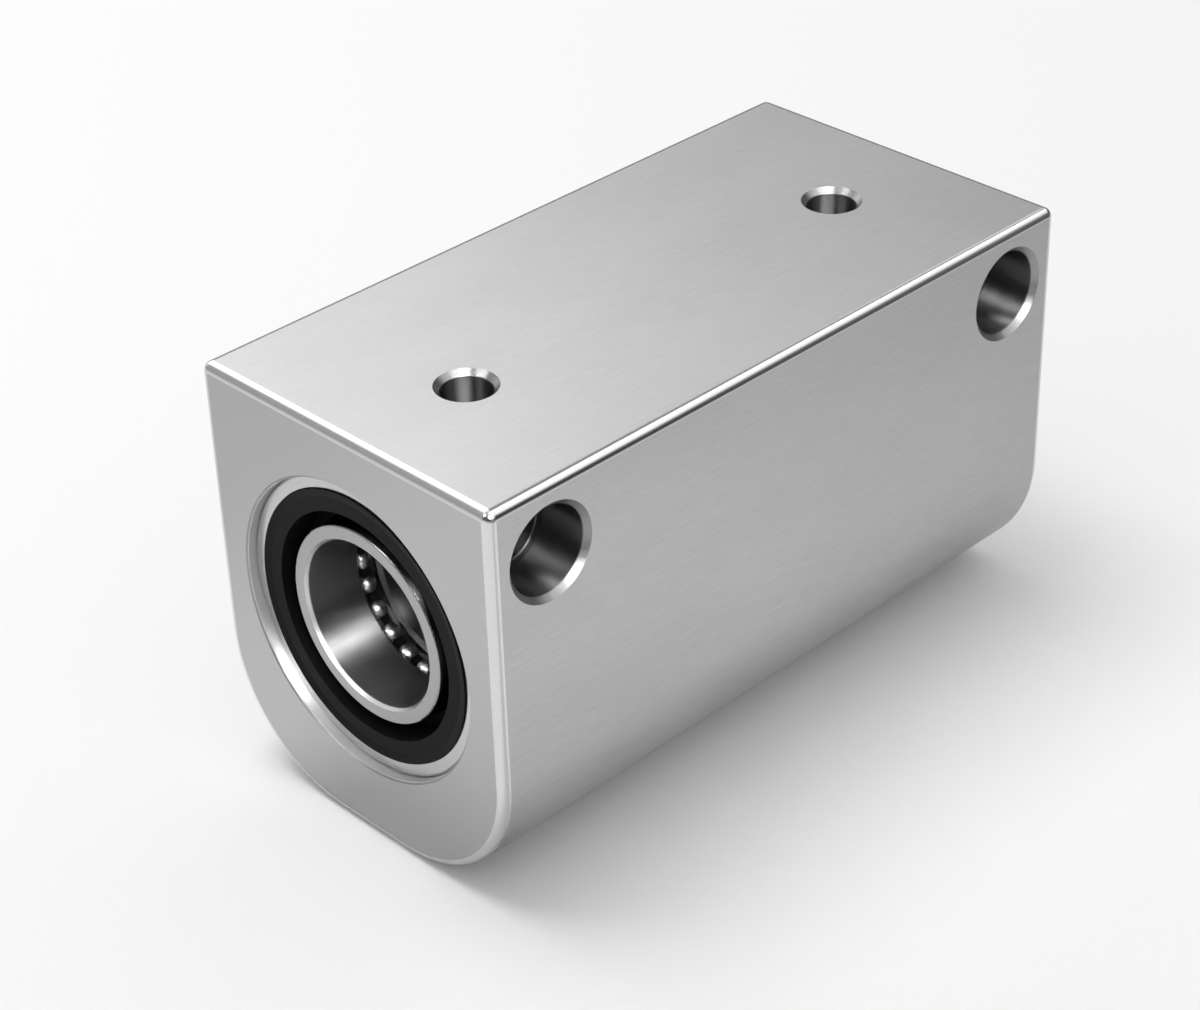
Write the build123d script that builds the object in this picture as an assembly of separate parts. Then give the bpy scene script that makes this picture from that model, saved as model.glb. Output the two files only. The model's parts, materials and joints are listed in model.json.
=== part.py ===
from build123d import *
import os

# Tandem linear bearing block: one machined housing that carries two ball bushes in line, for a 25 mm shaft.
# Millimetres. The shaft's axis lies along Y, the block stands on its narrow bottom flat, and the origin is
# the centre of that flat. The front of the block is its -Y end. Depths are counted inwards from an end face.

# Housing
WIDTH = 58.0
HEIGHT = 66.0
LENGTH = 115.0
AXIS_DROP = 31.5              # shaft axis below the top face
BOTTOM_RADIUS = 22.0          # the two lower corners of the section
EDGE_RADIUS = 1.4             # all the outer edges
SEAT_DIAMETER = 46.0          # bore that the bushes are pressed into
MOUTH_CHAMFER = 0.3

# Stepped pockets in both sides, for locating pins
PIN_DIAMETER = 13.0
PIN_POCKET_DEPTH = 8.5
PIN_POCKET_CHAMFER = 0.9
PIN_POCKET_DROP = 10.4        # pocket centre below the top face
PIN_POCKET_INSET = 10.5       # pocket centre to the nearer end face
RELIEF_DIAMETER = 10.8        # smaller hole beyond the pocket's shoulder
RELIEF_DEPTH = 1.8
RELIEF_CHAMFER = 0.15

# Grease ports in the top
PORT_DIAMETER = 7.4
PORT_DEPTH = 5.0
PORT_CHAMFER = 0.9
PORT_INSET = 20.4             # port centre to the nearer end face
PORT_OFFSET = 2.9             # both ports stand this far from the middle, towards +X
PORT_TAIL_DIAMETER = 6.6      # smaller end of the port, below its shoulder
PORT_TAIL_DEPTH = 2.2
FEED_DIAMETER = 2.5           # drilling from the port to the bush, and through the bush's sleeve

# Bush: outer sleeve
SLEEVE_RECESS = 1.6           # from the block's end face to the sleeve's end
SLEEVE_ROUND = 0.5
SLEEVE_INNER_ROUND = 0.15
FEED_GROOVE_WIDTH = 4.0
FEED_GROOVE_DEPTH = 0.8
FEED_HOLES = 3
SPACER_LENGTH = 5.0           # ring in the middle of the block, between the two bushes
SPACER_BORE = 27.2
SPACER_CHAMFER = 0.6

# Bush: rubber end seal
SEAL_SEAT_DIAMETER = 41.6
SEAL_SEAT_DEPTH = 5.6
SEAL_INNER_DIAMETER = 34.8
SEAL_RIM_WIDTH = 1.2
SEAL_RIM_HEIGHT = 0.3         # the rim stands this far out of the sleeve's end
SEAL_LIP_THICKNESS = 0.7
SEAL_LIP_LEAN = 0.5           # the lip's tip is this much nearer the end face than its root
SEAL_LIP_GAP = 0.35           # lip to cage

# Bush: balls, and the cage that carries them
SHAFT_DIAMETER = 25.0
BALL_DIAMETER = 3.0
BALLS_IN_ROW = 22
BALL_PHASE = 5.0              # degrees from straight up to the first ball
ROW_INSET = 6.0               # each row's middle to the nearer end of the race
RACE_GAP = 0.1
POCKET_GAP = 0.1
CAGE_GAP = 0.15               # shaft to the cage's steel tubes
CAGE_WALL = 2.45
NOSE_DEPTH = 2.05             # from the block's end face to the cage's end
NOSE_CHAMFER = 0.45
NOSE_CHAMFER_LENGTH = 0.65
NOSE_ROUND = 0.3
LEAD_IN_LENGTH = 0.7          # chamfer on the tube behind each ball ring
LEAD_IN_HEIGHT = 0.4
BALL_RING_WIDTH = 3.6
BALL_RING_RELIEF = 1.25       # the ball ring's bore stands back from the tubes' bore
BALL_RING_RIM = 0.8           # the ball ring's outer rims reach this far over the tubes' ends
BALL_RING_RIM_WALL = 0.6
POST_WIDTH = 1.4              # posts between the balls, which keep them from falling into the bore
POST_HEIGHT = 0.75
CAGE_TRAVEL = 1.8             # each way
STOP_GAP = 0.2                # left at each end of the travel
COLLAR_DIAMETER = 34.0
COLLAR_WIDTH = 1.4
COLLAR_GAP = 0.6
COUNTERBORE_DEPTH = 7.4       # room for the collar in the sleeve's inner end

# Worked out from the sizes above
half_length = LENGTH / 2
axis_height = HEIGHT - AXIS_DROP
seat_radius = SEAT_DIAMETER / 2
ball_radius = BALL_DIAMETER / 2
pitch_radius = SHAFT_DIAMETER / 2 + ball_radius
race_radius = pitch_radius + ball_radius + RACE_GAP
cage_bore_radius = SHAFT_DIAMETER / 2 + CAGE_GAP
cage_radius = cage_bore_radius + CAGE_WALL
ring_bore_radius = cage_bore_radius + BALL_RING_RELIEF
ring_seat_radius = cage_radius - BALL_RING_RIM_WALL
post_radius = ring_bore_radius - POST_HEIGHT
sleeve_end = half_length - SPACER_LENGTH / 2
race_start = SLEEVE_RECESS + SEAL_SEAT_DEPTH
race_end = sleeve_end - COUNTERBORE_DEPTH
row_depths = (race_start + ROW_INSET, race_end - ROW_INSET)
cage_end = sleeve_end - CAGE_TRAVEL - STOP_GAP
collar_start = race_end + CAGE_TRAVEL + STOP_GAP


def turned(outline):
    """Solid turned about the shaft's axis. The outline's points are (radius, depth from the front face)."""
    points = [(radius, depth - half_length) for radius, depth in outline]
    return Pos(0, 0, axis_height) * revolve(make_face(Polyline(*points, close=True)), Axis.Y)


def rim(solid, radius, depth):
    """The circular edges of that radius at that depth from the front face."""
    return [
        edge
        for edge in solid.edges().filter_by(GeomType.CIRCLE)
        if abs(edge.radius - radius) < 0.001 and abs(edge.center().Y + half_length - depth) < 0.001
    ]


def stepped_hole(steps):
    """Cutter for a hole that goes down from Z = 0. The steps are (radius, depth)."""
    points = [(0, 0)] + [(radius, -depth) for radius, depth in steps] + [(0, -steps[-1][1])]
    return revolve(make_face(Plane.XZ * Polyline(*points, close=True)), Axis.Z)


def around_axis(piece, count, depth, phase=0.0):
    """Copies of a piece, set round the shaft's axis at that depth. The piece's own +Z points outwards."""
    return [
        Pos(0, depth - half_length, axis_height) * Rot(0, phase + 360 * i / count, 0) * piece
        for i in range(count)
    ]


def housing():
    section = Rectangle(WIDTH, HEIGHT, align=(Align.CENTER, Align.MIN))
    section = fillet(section.vertices().group_by(Axis.Y)[0], BOTTOM_RADIUS)
    block = extrude(Plane.XZ * section, half_length, both=True)
    end_edges = block.edges().filter_by(Plane.XZ)
    top_edges = block.edges().filter_by(Axis.Y).group_by(Axis.Z)[-1]
    block = fillet(end_edges + top_edges, EDGE_RADIUS)

    mouth_radius = seat_radius + MOUTH_CHAMFER
    block -= turned([
        (0, 0), (mouth_radius, 0), (seat_radius, MOUTH_CHAMFER),
        (seat_radius, LENGTH - MOUTH_CHAMFER), (mouth_radius, LENGTH), (0, LENGTH),
    ])
    pin_pocket = stepped_hole([
        (PIN_DIAMETER / 2 + PIN_POCKET_CHAMFER, 0),
        (PIN_DIAMETER / 2, PIN_POCKET_CHAMFER),
        (PIN_DIAMETER / 2, PIN_POCKET_DEPTH),
        (RELIEF_DIAMETER / 2 + RELIEF_CHAMFER, PIN_POCKET_DEPTH),
        (RELIEF_DIAMETER / 2, PIN_POCKET_DEPTH + RELIEF_CHAMFER),
        (RELIEF_DIAMETER / 2, PIN_POCKET_DEPTH + RELIEF_DEPTH),
    ])
    grease_port = stepped_hole([
        (PORT_DIAMETER / 2 + PORT_CHAMFER, 0),
        (PORT_DIAMETER / 2, PORT_CHAMFER),
        (PORT_DIAMETER / 2, PORT_DEPTH),
        (PORT_TAIL_DIAMETER / 2, PORT_DEPTH),
        (PORT_TAIL_DIAMETER / 2, PORT_DEPTH + PORT_TAIL_DEPTH),
        (FEED_DIAMETER / 2, PORT_DEPTH + PORT_TAIL_DEPTH),
        (FEED_DIAMETER / 2, AXIS_DROP),
    ])
    for end in (-1, 1):
        for side in (-1, 1):
            place = Pos(side * WIDTH / 2, end * (half_length - PIN_POCKET_INSET), HEIGHT - PIN_POCKET_DROP)
            block -= place * Rot(0, 90 * side, 0) * pin_pocket
        block -= Pos(PORT_OFFSET, end * (half_length - PORT_INSET), HEIGHT) * grease_port
    return block


def center_spacer():
    bore_radius = SPACER_BORE / 2
    start = half_length - SPACER_LENGTH / 2
    end = half_length + SPACER_LENGTH / 2
    return turned([
        (bore_radius + SPACER_CHAMFER, start), (seat_radius, start), (seat_radius, end),
        (bore_radius + SPACER_CHAMFER, end), (bore_radius, end - SPACER_CHAMFER),
        (bore_radius, start + SPACER_CHAMFER),
    ])


def sleeve():
    """Pressed into the housing. Seal seat, ball race and the collar's counterbore, one behind the other."""
    seal_radius = SEAL_SEAT_DIAMETER / 2
    counterbore_radius = COLLAR_DIAMETER / 2 + COLLAR_GAP
    groove_radius = seat_radius - FEED_GROOVE_DEPTH
    groove_start = PORT_INSET - FEED_GROOVE_WIDTH / 2
    groove_end = PORT_INSET + FEED_GROOVE_WIDTH / 2
    body = turned([
        (seal_radius, SLEEVE_RECESS), (seat_radius, SLEEVE_RECESS),
        (seat_radius, groove_start), (groove_radius, groove_start),
        (groove_radius, groove_end), (seat_radius, groove_end),
        (seat_radius, sleeve_end), (counterbore_radius, sleeve_end),
        (counterbore_radius, race_end), (race_radius, race_end),
        (race_radius, race_start), (seal_radius, race_start),
    ])
    body = fillet(rim(body, seat_radius, SLEEVE_RECESS), SLEEVE_ROUND)
    body = fillet(rim(body, seal_radius, SLEEVE_RECESS), SLEEVE_INNER_ROUND)
    drill = Cylinder(FEED_DIAMETER / 2, seat_radius, align=(Align.CENTER, Align.CENTER, Align.MIN))
    for hole in around_axis(drill, FEED_HOLES, PORT_INSET):
        body -= hole
    return body


def seal():
    """Rubber ring with a raised rim in front and a thin lip that leans out towards the cage behind."""
    outer = SEAL_SEAT_DIAMETER / 2
    inner = SEAL_INNER_DIAMETER / 2
    tip = cage_radius + SEAL_LIP_GAP
    back = race_start
    lip_front = back - SEAL_LIP_LEAN - SEAL_LIP_THICKNESS
    return turned([
        (outer, SLEEVE_RECESS - SEAL_RIM_HEIGHT), (outer, back), (inner, back),
        (tip, back - SEAL_LIP_LEAN), (tip, lip_front), (inner, back - SEAL_LIP_THICKNESS),
        (inner, SLEEVE_RECESS), (outer - SEAL_RIM_WIDTH, SLEEVE_RECESS),
    ])


def stepped_end(depth, inwards):
    """Outline points of a tube's end that a ball ring's rim fits over. inwards is the way into the tube."""
    return [(ring_seat_radius, depth), (ring_seat_radius, depth + inwards * BALL_RING_RIM),
            (cage_radius, depth + inwards * BALL_RING_RIM)]


def led_in_bore(depth, inwards):
    """Outline points of the same end's bore, with the chamfer that leads a shaft in past the balls."""
    return [(cage_bore_radius, depth + inwards * LEAD_IN_LENGTH), (cage_bore_radius + LEAD_IN_HEIGHT, depth)]


def cage_nose():
    """Steel tube that shows in the end of the block."""
    end = row_depths[0] - BALL_RING_WIDTH / 2
    body = turned(
        [(cage_bore_radius + NOSE_CHAMFER, NOSE_DEPTH), (cage_radius, NOSE_DEPTH)]
        + stepped_end(end, -1)[::-1]
        + [(cage_bore_radius, end), (cage_bore_radius, NOSE_DEPTH + NOSE_CHAMFER_LENGTH)]
    )
    return fillet(rim(body, cage_radius, NOSE_DEPTH), NOSE_ROUND)


def cage_middle():
    """Steel tube between the two ball rings."""
    start, end = (depth + way * BALL_RING_WIDTH / 2 for depth, way in zip(row_depths, (1, -1)))
    outside = stepped_end(start, 1) + stepped_end(end, -1)[::-1]
    inside = led_in_bore(end, -1)[::-1] + led_in_bore(start, 1)
    return turned(outside + inside)


def cage_tail():
    """Steel tube at the cage's inner end. Its collar stops the cage against the sleeve."""
    start = row_depths[1] + BALL_RING_WIDTH / 2
    collar_radius = COLLAR_DIAMETER / 2
    return turned(
        stepped_end(start, 1)
        + [(cage_radius, collar_start), (collar_radius, collar_start),
           (collar_radius, collar_start + COLLAR_WIDTH), (cage_radius, collar_start + COLLAR_WIDTH),
           (cage_radius, cage_end), (cage_bore_radius, cage_end)]
        + led_in_bore(start, 1)
    )


def ball_ring(depth):
    """Black ring that joins two tubes of the cage. Its wall and its posts hold the balls from both sides."""
    half = BALL_RING_WIDTH / 2
    body = turned([
        (ring_bore_radius, depth - half), (ring_seat_radius, depth - half),
        (ring_seat_radius, depth - half - BALL_RING_RIM), (cage_radius, depth - half - BALL_RING_RIM),
        (cage_radius, depth + half + BALL_RING_RIM), (ring_seat_radius, depth + half + BALL_RING_RIM),
        (ring_seat_radius, depth + half), (ring_bore_radius, depth + half),
        (ring_bore_radius, depth + POST_WIDTH / 2), (post_radius, depth + POST_WIDTH / 2),
        (post_radius, depth - POST_WIDTH / 2), (ring_bore_radius, depth - POST_WIDTH / 2),
    ])
    pocket = Pos(0, 0, pitch_radius) * Sphere(ball_radius + POCKET_GAP)
    for hole in around_axis(pocket, BALLS_IN_ROW, depth, BALL_PHASE):
        body -= hole
    return body


def ball_row(depth):
    ball = Pos(0, 0, pitch_radius) * Sphere(ball_radius)
    return Compound(children=around_axis(ball, BALLS_IN_ROW, depth, BALL_PHASE))


front_bush = {
    "sleeve": sleeve(),
    "seal": seal(),
    "cage_nose": cage_nose(),
    "cage_middle": cage_middle(),
    "cage_tail": cage_tail(),
    "outer_ball_ring": ball_ring(row_depths[0]),
    "inner_ball_ring": ball_ring(row_depths[1]),
    "outer_balls": ball_row(row_depths[0]),
    "inner_balls": ball_row(row_depths[1]),
}
nodes = {"housing": housing(), "center_spacer": center_spacer()}
for name, piece in front_bush.items():
    nodes["front_" + name] = piece
    nodes["rear_" + name] = mirror(piece, about=Plane.XZ)

os.makedirs("parts", exist_ok=True)
for name, piece in nodes.items():
    export_step(piece, "parts/" + name + ".step")
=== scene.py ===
# %% [markdown]
# # Linear bearing block
# A machined aluminium block carries two ball bushes, one in each end. Its solids come from the CAD model
# and already have the right shape, so no piece is modelled here. This lesson is about what makes bare
# metal, black rubber and small steel balls look real: their finish, the room that they reflect, and the
# camera.

# %% Load the solids
import bpy
import json
from math import cos, pi, radians
from mathutils import Matrix, Vector


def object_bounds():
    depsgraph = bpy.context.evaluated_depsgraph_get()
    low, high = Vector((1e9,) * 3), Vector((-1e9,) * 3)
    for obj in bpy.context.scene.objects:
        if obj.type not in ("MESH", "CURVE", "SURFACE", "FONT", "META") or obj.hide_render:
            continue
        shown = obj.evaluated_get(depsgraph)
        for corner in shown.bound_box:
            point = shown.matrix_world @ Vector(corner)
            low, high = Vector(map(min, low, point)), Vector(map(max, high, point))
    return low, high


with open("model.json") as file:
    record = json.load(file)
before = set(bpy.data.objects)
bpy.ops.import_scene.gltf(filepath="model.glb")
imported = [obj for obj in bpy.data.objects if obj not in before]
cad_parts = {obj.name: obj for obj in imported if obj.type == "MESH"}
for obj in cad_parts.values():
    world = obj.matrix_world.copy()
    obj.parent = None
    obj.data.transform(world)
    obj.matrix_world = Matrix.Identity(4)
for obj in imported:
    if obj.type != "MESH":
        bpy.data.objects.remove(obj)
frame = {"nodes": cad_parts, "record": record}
nodes = frame["nodes"]
cad_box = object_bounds()
bpy.ops.object.select_all(action="DESELECT")
MM = 0.001
print("solids:", len(nodes), "block size in mm:", [round(v / MM, 1) for v in cad_box[1] - cad_box[0]])

# %% [markdown]
# ## Shader sums
# A metal finish is mostly arithmetic on patterns. It could be drawn node by node in the shader editor, but
# dozens of Math nodes are hard to follow there. Here a small class stands for one socket of a material, and
# its operators add the Math nodes. Anything else, such as a noise, comes from one method that sets the node
# up and links its sockets.

# %% One socket as a number
class Wire:
    """An output socket. Sums and products of wires and numbers add Math nodes."""

    def __init__(self, tree, socket=None):
        self.tree = tree
        self.socket = socket

    def node(self, kind, settings=None, sockets=None, output=0):
        """Adds a node with its settings, then fills its sockets with wires or plain values."""
        made = self.tree.nodes.new(kind)
        for name, value in (settings or {}).items():
            setattr(made, name, value)
        for name, value in (sockets or {}).items():
            if isinstance(value, Wire):
                self.tree.links.new(value.socket, made.inputs[name])
            else:
                made.inputs[name].default_value = value
        return Wire(self.tree, made.outputs[output])

    def math(self, operation, *values):
        return self.node("ShaderNodeMath", {"operation": operation}, dict(enumerate(values)))

    def __add__(self, other):
        return self.math("ADD", self, other)

    def __sub__(self, other):
        return self.math("SUBTRACT", self, other)

    def __rsub__(self, other):
        return self.math("SUBTRACT", other, self)

    def __mul__(self, other):
        return self.math("MULTIPLY", self, other)

    def __abs__(self):
        return self.math("ABSOLUTE", self)

    __radd__ = __add__
    __rmul__ = __mul__

    def ramp(self, low, high, out_low=0.0, out_high=1.0):
        """Smooth step from out_low to out_high while this wire goes from low to high."""
        return self.node(
            "ShaderNodeMapRange",
            {"interpolation_type": "SMOOTHSTEP"},
            {"Value": self, "From Min": low, "From Max": high, "To Min": out_low, "To Max": out_high},
        )


def either(first, second):
    """The stronger of two masks or lights."""
    return first.math("MAXIMUM", first, second)


def distance(first, second):
    """How far off an axis is, from the offsets along two directions."""
    return first.math("SQRT", first * first + second * second)


# %% [markdown]
# ## A material and its places
# A finish could be wrapped round the piece on a UV map. Machining marks have a real size and direction
# instead, so every finish here reads the place on the object in millimetres, and its marks stay where they
# are when a piece moves. The same few readings are needed each time: the place, the way that the surface
# faces, and a noise on readings that are stretched first.

# %% A new material with its readings
def new_material(name, **values):
    """Principled material with plain values set. Returns it with a Wire to begin sums from."""
    material = bpy.data.materials.new(name)
    material.use_nodes = True
    shader = material.node_tree.nodes["Principled BSDF"]
    for socket, value in values.items():
        shader.inputs[socket.replace("_", " ")].default_value = value
    return material, Wire(material.node_tree)


def place_on_object(wire):
    """X, Y and Z on the object, in millimetres."""
    coordinates = wire.node("ShaderNodeTexCoord", output="Object")
    separate = "ShaderNodeSeparateXYZ"
    return [wire.node(separate, sockets={0: coordinates}, output=axis) * (1 / MM) for axis in "XYZ"]


def facing(wire):
    """The surface's own normal, without bumps."""
    normal = wire.node("ShaderNodeNewGeometry", output="True Normal")
    return [wire.node("ShaderNodeSeparateXYZ", sockets={0: normal}, output=axis) for axis in "XYZ"]


def streaks(x, y, z, detail=3.0):
    """Noise on the three given readings, which are stretched before they come here."""
    vector = x.node("ShaderNodeCombineXYZ", sockets={"X": x, "Y": y, "Z": z})
    return x.node("ShaderNodeTexNoise", sockets={"Vector": vector, "Scale": 1.0, "Detail": detail})


def swing(noise, size):
    """The noise as a swing round 0. It lies round 0.5 as it comes."""
    return (noise - 0.5) * size


# %% From patterns to a finish
def grey(value):
    """A neutral colour from one value."""
    return value.node("ShaderNodeCombineColor", sockets={"Red": value, "Green": value, "Blue": value})


def bump(relief, strength=1.0, depth=MM):
    """Surface relief. The heights are in units of depth."""
    return relief.node("ShaderNodeBump", sockets={"Height": relief, "Strength": strength, "Distance": depth})


def cover(material, patterns):
    """Links each pattern to the shader's socket of that name."""
    shader = material.node_tree.nodes["Principled BSDF"]
    for socket, pattern in patterns.items():
        material.node_tree.links.new(pattern.socket, shader.inputs[socket])
    return material


# %% [markdown]
# ## Brushed aluminium
# The top, the sides and the round underside are brushed along the block's length, in fine strokes a few
# millimetres long. The ends are only milled, and look satin. The edge rounds and chamfers are cut by a
# smooth tool and shine more. The edge rounds and the seat's wall are also painted lighter than the faces,
# which partly paints their highlights. The walls of the holes are bored: their fine rings are steep enough
# to throw light along the hole, which draws a lamp out into a streak. The rest of the pockets and grease
# ports is painted dark: painted shade. The faces could each get a material of their own, but the block is
# one piece of metal, so one material tells the places apart, by the way that each face looks and by its
# distance from each hole's axis.

# %% Where the holes are
mounts = {mount["name"]: mount for mount in frame["record"]["mounts"]}


def mount_place(name):
    """The mount's centre, in millimetres."""
    return [value / MM for value in mounts[name]["pos_m"]]


BORE_AXIS_HEIGHT = mount_place("shaft_bore")[2]
POCKET_FROM_MIDDLE, POCKET_HEIGHT = mount_place("rear_right_pin_pocket")[1:]
PORT_OFFSET, PORT_FROM_MIDDLE = mount_place("rear_grease_port")[:2]
BORE_RADIUS = mounts["shaft_bore"]["dims"]["r_mm"]
POCKET_RADIUS = mounts["rear_right_pin_pocket"]["dims"]["r_mm"]
PORT_RADIUS = mounts["rear_grease_port"]["dims"]["r_mm"]
SEAT_RADIUS = 23.0
TOP = cad_box[1][2] / MM
SIDE = cad_box[1][0] / MM
print("radii in mm: pocket", POCKET_RADIUS, "port", PORT_RADIUS, "seat", SEAT_RADIUS, "bore", BORE_RADIUS)

# %% Masks round a hole
WALL_SKIN = 0.12
CHAMFER_REACH = 1.0
MOUTH_CHAMFER = 0.45


def inside(from_axis, radius):
    """1 on a hole's wall and within it."""
    return from_axis.ramp(radius + WALL_SKIN, radius + WALL_SKIN / 2)


def up_to_rim(from_axis, radius, reach):
    """1 on a hole and on the chamfer round it, which reaches so far out from the wall."""
    return from_axis.ramp(radius + reach, radius + reach - WALL_SKIN)


# %% Places of the housing
EDGE_ROUND = 1.4
EDGE_FADE = 0.1
END_FACING = (0.9990, 0.9998)
LENGTHWISE_FACING = (0.02, 0.01)


def housing_places(x, y, z, facing_y):
    """A mask for each kind of place, and one for the chamfers of the grease ports alone."""
    from_middle = abs(y)
    end_face = abs(facing_y).ramp(*END_FACING)
    lengthwise = abs(facing_y).ramp(*LENGTHWISE_FACING)
    upper_edge = z.ramp(TOP - EDGE_ROUND, TOP - EDGE_ROUND + EDGE_FADE)
    upper_edge = upper_edge * abs(x).ramp(SIDE - EDGE_ROUND, SIDE - EDGE_ROUND + EDGE_FADE)

    from_pocket = distance(from_middle - POCKET_FROM_MIDDLE, z - POCKET_HEIGHT)
    from_port = distance(x - PORT_OFFSET, from_middle - PORT_FROM_MIDDLE)
    from_bore = distance(x, z - BORE_AXIS_HEIGHT)
    pocket = inside(from_pocket, POCKET_RADIUS)
    port = inside(from_port, PORT_RADIUS) * z.ramp(TOP / 2, TOP / 2 + 1)
    seat = inside(from_bore, SEAT_RADIUS)
    hole = either(either(pocket, port), seat)

    brushed = lengthwise * (1 - upper_edge) * (1 - hole)
    milled = end_face * (1 - hole)
    polished = (1 - brushed) * (1 - milled) * (1 - hole)
    by_pocket = up_to_rim(from_pocket, POCKET_RADIUS, CHAMFER_REACH)
    by_port = up_to_rim(from_port, PORT_RADIUS, CHAMFER_REACH)
    by_mouth = up_to_rim(from_bore, SEAT_RADIUS, MOUTH_CHAMFER)
    chamfer = polished * either(either(by_pocket, by_port), by_mouth)
    return {
        "brushed": brushed, "milled": milled, "chamfer": chamfer, "edge": polished - chamfer,
        "pocket": pocket, "port": port, "seat": seat, "hole": hole, "port_chamfer": by_port,
    }


# %% Brush strokes
# Across and along are marks per millimetre.
WIDE_STROKES = {"across": 5, "along": 0.16, "detail": 4.0}
FINE_STROKES = {"across": 14, "along": 0.5, "detail": 2.0}
CLOUDS = {"across": 0.08, "along": 0.03, "detail": 1.0}
TOP_SLANT = 0.14
SIDE_SLANT = 0.055
TOP_FACING = (0.9, 0.95)


def lengthwise_marks(x, y, z, size):
    """Noise that is drawn out along the block."""
    return streaks(x * size["across"], y * size["along"], z * size["across"], size["detail"])


def brush_strokes(x, y, z, facing_z):
    """Wide and fine strokes. The brush ran a little askew on the top and the sides."""
    on_top = facing_z.ramp(*TOP_FACING)
    across_top = x - y * on_top * TOP_SLANT
    across_side = z + y * (1 - on_top) * SIDE_SLANT
    return [lengthwise_marks(across_top, y, across_side, size) for size in (WIDE_STROKES, FINE_STROKES)]


# %% Bored rings
RINGS_PER_MM = 9.0
POCKET_SLOPE = 0.6
PORT_SLOPE = 0.95
SEAT_SLOPE = 0.62
CHAMFER_SLOPE = 0.12


def bored_rings(depth, slope):
    """Height of rings cut side by side. slope is the steepest that their flanks get."""
    turn = 2 * pi * RINGS_PER_MM
    return depth.math("SINE", depth * turn) * (slope / turn)


# %% Housing finish
# Pocket and port are painted dark: painted shade in the holes. Edge and seat are painted lighter than the
# faces, which partly paints their highlights.
PLACE_TONES_AND_PAINTED_LIGHT = {
    "brushed": 0.50, "milled": 0.50, "edge": 0.72, "chamfer": 0.33,
    "pocket": 0.16, "port": 0.085, "seat": 0.62,
}
STROKE_CONTRAST = 0.16
FINE_STROKE_CONTRAST = 0.10
CLOUD_CONTRAST = 0.06
GRAINS_PER_MM = 3
GRAIN_CONTRAST = 0.02
EDGE_ROUGHNESS = 0.20
PLACE_HAZE = {"brushed": 0.13, "milled": 0.14, "hole": 0.08, "seat": 0.12}
STROKE_HAZE = 0.16
CHAMFER_HAZE = 0.14
PORT_CHAMFER_SHINE = 0.6
STROKE_DEPTH = 0.005
FINE_STROKE_SHARE = 0.6


def brushed_aluminium():
    material, wire = new_material("brushed_aluminium", Metallic=1.0)
    x, y, z = place_on_object(wire)
    facing_y, facing_z = facing(wire)[1:]
    place = housing_places(x, y, z, facing_y)
    strokes, fine_strokes = brush_strokes(x, y, z, facing_z)
    cloud = lengthwise_marks(x, y, z, CLOUDS)
    grain = streaks(x * GRAINS_PER_MM, y * GRAINS_PER_MM, z * GRAINS_PER_MM)

    # The place tones hold painted shade in the pockets and ports and painted highlight on edges and seat.
    tone = sum(place[name] * place_tone for name, place_tone in PLACE_TONES_AND_PAINTED_LIGHT.items())
    brushing = swing(strokes, STROKE_CONTRAST) + swing(fine_strokes, FINE_STROKE_CONTRAST)
    tone = tone + place["brushed"] * (brushing + swing(cloud, CLOUD_CONTRAST))
    tone = tone + place["milled"] * swing(grain, GRAIN_CONTRAST)

    roughness = EDGE_ROUGHNESS + sum(place[name] * haze for name, haze in PLACE_HAZE.items())
    roughness = roughness + place["brushed"] * swing(strokes, STROKE_HAZE)
    dulled = place["chamfer"] * (1 - place["port_chamfer"] * PORT_CHAMFER_SHINE)
    roughness = roughness + dulled * CHAMFER_HAZE

    rings = place["pocket"] * bored_rings(x, POCKET_SLOPE) + place["port"] * bored_rings(z, PORT_SLOPE)
    rings = rings + place["seat"] * bored_rings(y, SEAT_SLOPE)
    rings = rings + place["chamfer"] * (bored_rings(x, CHAMFER_SLOPE) + bored_rings(z, CHAMFER_SLOPE))
    relief = place["brushed"] * (strokes + fine_strokes * FINE_STROKE_SHARE) * STROKE_DEPTH + rings
    return cover(material, {"Base Color": grey(tone), "Roughness": roughness, "Normal": bump(relief)})


# %% [markdown]
# ## Turned steel
# Sleeves, cage tubes and the spacer are turned, so their marks are rings round the shaft's axis. On an end
# face the rings follow the distance from the axis, and along a wall they follow the depth, so noise on
# those two readings alone gives both. Inside the cage's tubes the rings are steeper, as in the bored holes,
# and the metal is painted darker: painted shade, because little light gets there. The same is done on the
# tubes' outer walls, which show only through the narrow gap in the seal. The small cone at the open end of
# each bush has a satin finish of its own, and is painted lighter: a painted highlight on it.

# %% Turned steel
TURNINGS_PER_MM = 9
TURNING_CONTRAST = 0.10
WEAR_PER_MM = 0.5
WEAR_CONTRAST = 0.02
WEAR_HAZE = 0.06
TURNING_DEPTH = 0.0015
BORE_HAZE = 0.06
BORE_SLOPE = 0.62
OUTSIDE_SLOPE = 0.7
PAINTED_OUTSIDE_SHADE = 0.86
WALL_FACING = (0.7, 0.4)
# The cones inside the bush belong to its bore. Further from the middle than this, the cone is its mouth.
MOUTH_START = 54.0
MOUTH_START_FADE = 0.2
CONE_HEIGHT = 0.42
MOUTH_RADIUS = 13.1
MOUTH_FADE = 0.05
MOUTH_PAINTED_HIGHLIGHT = 0.3
MOUTH_HAZE = 0.12


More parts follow.
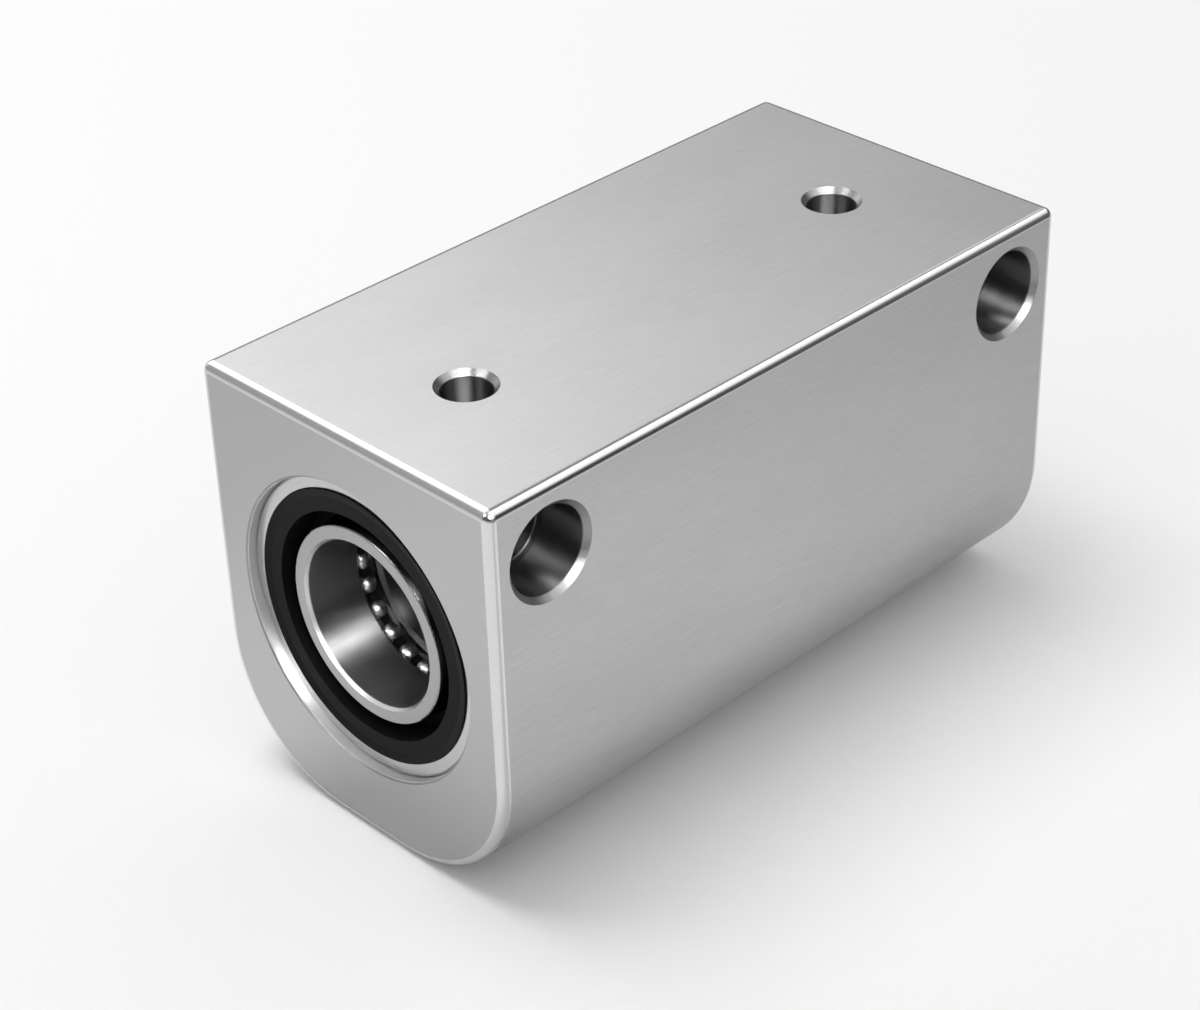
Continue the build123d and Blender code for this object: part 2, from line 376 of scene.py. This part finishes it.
def turned_steel(name, tone, roughness, bore_tone_with_painted_shade):
    """Steel of one tone on its faces and another in its bore, where a darker tone is painted shade, with
    rings round the shaft's axis.
    """
    material, wire = new_material(name, Metallic=1.0)
    x, y, z = place_on_object(wire)
    from_axis = distance(x, z - BORE_AXIS_HEIGHT)
    deep = abs(y).ramp(MOUTH_START, MOUTH_START - MOUTH_START_FADE)
    in_bore = inside(from_axis - deep * CONE_HEIGHT, BORE_RADIUS)
    out_of_bore = 1 - in_bore
    mouth = from_axis.ramp(MOUTH_RADIUS + MOUTH_FADE, MOUTH_RADIUS - MOUTH_FADE) * out_of_bore * (1 - deep)
    wall = abs(facing(wire)[1]).ramp(*WALL_FACING)
    outer_wall = wall * out_of_bore * (1 - mouth)
    rings = streaks(from_axis * TURNINGS_PER_MM, y * TURNINGS_PER_MM, 0.0)
    wear = streaks(x * WEAR_PER_MM, y * WEAR_PER_MM, z * WEAR_PER_MM, detail=2.0)
    marks = out_of_bore * swing(rings, TURNING_CONTRAST)

    # Painted shade darkens the outer walls and the cage's bore; the mouth cone gets a painted highlight.
    shade = tone * (1 - outer_wall * PAINTED_OUTSIDE_SHADE) + in_bore * (bore_tone_with_painted_shade - tone) + mouth * MOUTH_PAINTED_HIGHLIGHT
    shade = shade + marks + swing(wear, WEAR_CONTRAST)
    haze = roughness + in_bore * BORE_HAZE + mouth * MOUTH_HAZE + marks + swing(wear, WEAR_HAZE)
    relief = (1 - wall) * rings * TURNING_DEPTH
    relief = relief + in_bore * bored_rings(y, BORE_SLOPE) + outer_wall * bored_rings(y, OUTSIDE_SLOPE)
    return cover(material, {"Base Color": grey(shade), "Roughness": haze, "Normal": bump(relief)})


# %% [markdown]
# ## Steel balls, black ring and rubber seal
# The balls are the brightest metal here. In the photograph each shows one soft highlight and no sharp
# mirror image, so they get a light tone and a satin polish. The ball ring is a black moulding with a slight
# sheen. The seal is rubber, nearly without gloss. Both blacks have a fine grain that breaks up what little
# they reflect, and one function makes the two, because only the numbers differ.

# %% Ball, ring and seal finishes
BALL_TONE = 0.88
BALL_ROUGHNESS = 0.34
BLOOMS_PER_MM = 4
BLOOM_CONTRAST = 0.06
BLOOM_HAZE = 0.08
SPECKLES_PER_MM = 6
SPECKLE_DEPTH = 0.03 * MM
SPECKLE_CONTRAST = 0.6
SPECKLE_HAZE = 0.2


def ball_steel():
    material, wire = new_material("ball_steel", Metallic=1.0)
    x, y, z = place_on_object(wire)
    bloom = streaks(x * BLOOMS_PER_MM, y * BLOOMS_PER_MM, z * BLOOMS_PER_MM, detail=2.0)
    return cover(material, {
        "Base Color": grey(BALL_TONE + bloom * BLOOM_CONTRAST),
        "Roughness": BALL_ROUGHNESS + bloom * BLOOM_HAZE,
    })


def black_moulding(name, tone, roughness, grain, **values):
    """Black rubber or plastic. grain is the strength of its fine relief."""
    material, wire = new_material(name, **values)
    x, y, z = place_on_object(wire)
    speckle = streaks(x * SPECKLES_PER_MM, y * SPECKLES_PER_MM, z * SPECKLES_PER_MM, detail=4.0)
    return cover(material, {
        "Base Color": grey(tone * (1 + swing(speckle, SPECKLE_CONTRAST))),
        "Roughness": roughness + swing(speckle, SPECKLE_HAZE),
        "Normal": bump(speckle, grain, SPECKLE_DEPTH),
    })


# %% [markdown]
# ## Giving each solid its finish
# A solid could be given its material by hand, one at a time. The record already names a material slot for
# each, so the finishes above are made once, and every solid gets the one for its slot.

# %% Assign the finishes
finishes = {
    "housing": brushed_aluminium(),
    "bush_steel": turned_steel("ground_steel", tone=0.62, roughness=0.24, bore_tone_with_painted_shade=0.62),
    "cage_steel": turned_steel("cage_steel", tone=0.40, roughness=0.25, bore_tone_with_painted_shade=0.19),
    "ball_steel": ball_steel(),
    "ball_ring": black_moulding("black_ball_ring", 0.02, 0.30, 0.2),
    "seal_rubber": black_moulding("seal_rubber", 0.004, 0.55, 0.4, Specular_IOR_Level=0.12),
}
for part in frame["record"]["subparts"]:
    solid = nodes[part["node"]]
    solid.data.materials.clear()
    solid.data.materials.append(finishes[part["material_slot"]])
print("finishes:", sorted(finishes))

# %% [markdown]
# ## The camera
# The block's straight edges in the photograph all agree on one long lens from above the front right corner,
# rolled a little. The view could be turned by eye, but such a small roll is easily missed, so it is given
# as a place and the way it looks, in the block's own frame, as the edges give it.

# %% Place the camera
CAMERA_PLACE = Vector((253.9, -254.3, 258.6)) * MM
LOOKS_ALONG = Vector((-0.60689, 0.58357, -0.53957))
CAMERA_ROLL = -1.84
FOCAL_PIXELS = 2851.5
PHOTO_WIDTH = 1200

camera_data = bpy.data.cameras.new("photo_camera")
camera_data.sensor_width = 36
camera_data.lens = camera_data.sensor_width * FOCAL_PIXELS / PHOTO_WIDTH
camera_data.clip_start = 0.01
camera = bpy.data.objects.new("photo_camera", camera_data)
bpy.context.scene.collection.objects.link(camera)
level_view = LOOKS_ALONG.to_track_quat("-Z", "Y").to_matrix().to_4x4()
roll = Matrix.Rotation(radians(CAMERA_ROLL), 4, "Z")
camera.matrix_world = Matrix.Translation(CAMERA_PLACE) @ level_view @ roll
bpy.context.scene.camera = camera
print("lens:", round(camera_data.lens, 1), "mm")

# %% [markdown]
# ## The floor
# The photograph's floor is almost pure white and fades into the background with no edge. A curved backdrop
# would do that too, but a large pale plane is simpler. It has a little light of its own for the camera, so
# that only the block's soft shadow stays on it, and more of it far out, so that no horizon shows in a low
# view. In the metal's reflections its colour is painted darker away from the block: painted shade, as on a
# real table where the lamps no longer reach.

# %% Floor
FLOOR_SIZE = 6.0
FLOOR_TONE = 0.88
FLOOR_ROUGHNESS = 0.9
FLOOR_GLOW = 0.03

bpy.ops.mesh.primitive_plane_add(size=FLOOR_SIZE, location=(0, 0, 0))
floor = bpy.context.active_object
floor.name = "studio_floor"
floor_material, floor_wire = new_material(
    "studio_floor", Roughness=FLOOR_ROUGHNESS, Specular_IOR_Level=0.0, Emission_Strength=1.0
)
seen = floor_wire.node("ShaderNodeLightPath", output="Is Camera Ray")
mirrored = floor_wire.node("ShaderNodeLightPath", output="Is Glossy Ray")
across_floor, along_floor = place_on_object(floor_wire)[:2]
print("floor:", FLOOR_SIZE, "m square")

# %% Glow and painted shade of the floor
# Each row is: from and to in millimetres, then the amount at each.
FAR_GLOW = (150, 1300, 0, 0.43)
BEHIND_PAINTED_SHADE = (0, 160, 0, 0.22)
LEFT_PAINTED_SHADE = (-45, -95, 0, 0.20)
RIGHT_PAINTED_SHADE = (150, 300, 0, 0.70)
IN_FRONT_PAINTED_SHADE = (-85, -62, 0, 0.35)
CLOSE_IN_FRONT = (-40, -55)
RIGHT_IN_FRONT = (-30, -5)

glow = either(seen, mirrored) * FLOOR_GLOW + seen * distance(across_floor, along_floor).ramp(*FAR_GLOW)
shade_in_front = along_floor.ramp(*IN_FRONT_PAINTED_SHADE) * along_floor.ramp(*CLOSE_IN_FRONT)
shade_in_front = shade_in_front * across_floor.ramp(*RIGHT_IN_FRONT)
shade_beside = across_floor.ramp(*LEFT_PAINTED_SHADE) + across_floor.ramp(*RIGHT_PAINTED_SHADE)
# Only in reflections, the floor is painted darker behind, beside and in front of the block: painted shade.
floor_tone_with_painted_shade = (1 - mirrored * (along_floor.ramp(*BEHIND_PAINTED_SHADE) + shade_beside + shade_in_front)) * FLOOR_TONE
cover(floor_material, {"Base Color": grey(floor_tone_with_painted_shade), "Emission Color": grey(glow)})
floor.data.materials.append(floor_material)

# %% [markdown]
# ## Light
# Bare metal shows the room more than it shows its own colour. The room could be built from lamps and white
# cards, but they would light the floor too, and each change would move the shadow. So the work is shared.
# One wide soft lamp, almost overhead and a little to the left and front, gives the shadow, and is kept out
# of the reflections. The world gives the rest. It is a plain even light for everything matt, and in the
# reflections it is a pale studio, where soft panels and the dark gaps between them are painted by
# direction, as a photographer would hang them round the table.

# %% World
world = bpy.data.worlds.new("studio")
bpy.context.scene.world = world
world.use_nodes = True
sky = Wire(world.node_tree)
direction = {0: sky.node("ShaderNodeTexCoord", output="Generated")}
east, north, height = [sky.node("ShaderNodeSeparateXYZ", sockets=direction, output=axis) for axis in "XYZ"]


def panel(east_at, north_at, height_at, radius, edge):
    """1 towards that direction, 0 further off than radius, with a soft edge of that width, in degrees."""
    nearness = east * east_at + north * north_at + height * height_at
    length = (east_at ** 2 + north_at ** 2 + height_at ** 2) ** 0.5
    return nearness.ramp(length * cos(radians(radius + edge)), length * cos(radians(radius)))


# %% Ceiling
# Directions run from -1 to 1: east is the block's right, north its rear, height straight up. Each row is:
# from and to, then the brightness at each.
CEILING_RISE = (0.0, 0.34, 0.13, 1.40)
CEILING_TILT = 0.5
OVERHEAD_DIM = (0.74, 0.92, 1, 0.45)
BACK_LEFT_PANEL = (-0.60, 0.58, 0.55, 32, 22)
BACK_LEFT_LIFT = 0.72

ceiling = (height - north * CEILING_TILT).ramp(*CEILING_RISE)
ceiling = ceiling * (1 + panel(*BACK_LEFT_PANEL) * BACK_LEFT_LIFT) * height.ramp(*OVERHEAD_DIM)
print("ceiling brightness:", CEILING_RISE[2], "low down,", CEILING_RISE[3], "above")

# %% Front wall, and gaps between the panels
LEFT_GAP_DEPTH = 0.90
RIGHT_GAP_DEPTH = 0.85
FRONT_GAP_DEPTH = 0.85
FRONT_GLOW = (-0.50, -0.15, 0.42, 0.10)

back_wall = north.ramp(0.3, 0.5)
left_gap = east.ramp(-0.60, -0.52) * east.ramp(-0.06, -0.14) * back_wall * height.ramp(0.55, 0.65)
right_gap = east.ramp(0.75, 0.79) * back_wall
front_gap = north.ramp(-0.28, -0.40) * east.ramp(-0.40, -0.25) * height.ramp(0.95, 0.86)
walls = ceiling * (1 - left_gap * LEFT_GAP_DEPTH) * (1 - right_gap * RIGHT_GAP_DEPTH)
walls = walls * (1 - front_gap * FRONT_GAP_DEPTH)
front_wall = north.ramp(-0.10, -0.35) * height.ramp(0.80, 0.65)
front_glow = east.ramp(*FRONT_GLOW)
print("front wall brightness:", FRONT_GLOW[2], "on the left,", FRONT_GLOW[3], "on the right")

# %% Bright panels and the finished room
# Each is a direction, then its radius and soft edge in degrees, and its strength.
BRIGHT_PANELS = {
    "near": ((0.64, -0.37, 0.67, 9, 5), 30),
    "overhead": ((0.24, 0.18, 0.95, 7, 5), 11),
    "left": ((-0.21, -0.66, 0.72, 5, 4), 14),
}
AMBIENT = 0.62
BACKDROP = 0.975

room = walls * (1 - front_wall) + front_wall * front_glow
for place, strength in BRIGHT_PANELS.values():
    room = room + panel(*place) * strength
to_camera = sky.node("ShaderNodeLightPath", output="Is Camera Ray")
in_mirror = sky.node("ShaderNodeLightPath", output="Is Glossy Ray")
brightness = either(in_mirror * room + (1 - in_mirror) * AMBIENT, to_camera * BACKDROP)
background = world.node_tree.nodes["Background"]
background.inputs["Color"].default_value = (1, 1, 1, 1)
world.node_tree.links.new(brightness.socket, background.inputs["Strength"])
print("bright panels:", ", ".join(BRIGHT_PANELS), "plain light:", AMBIENT, "backdrop:", BACKDROP)

# %% Key lamp
KEY_PLACE = Vector((-0.27, -0.13, 0.95))
KEY_AIM = Vector((0, 0, 0.03))
KEY_SIZE = 0.5
KEY_WATTS = 4.75

key_data = bpy.data.lights.new("key_light", "AREA")
key_data.size = KEY_SIZE
key_data.energy = KEY_WATTS
key_light = bpy.data.objects.new("key_light", key_data)
key_light.location = KEY_PLACE
key_light.rotation_euler = (KEY_AIM - KEY_PLACE).to_track_quat("-Z", "Y").to_euler()
key_light.visible_glossy = False
bpy.context.scene.collection.objects.link(key_light)
print("key lamp:", KEY_WATTS, "W", round((KEY_AIM - KEY_PLACE).length, 2), "m away")

# %% View settings
bpy.context.scene.view_settings.view_transform = "Standard"
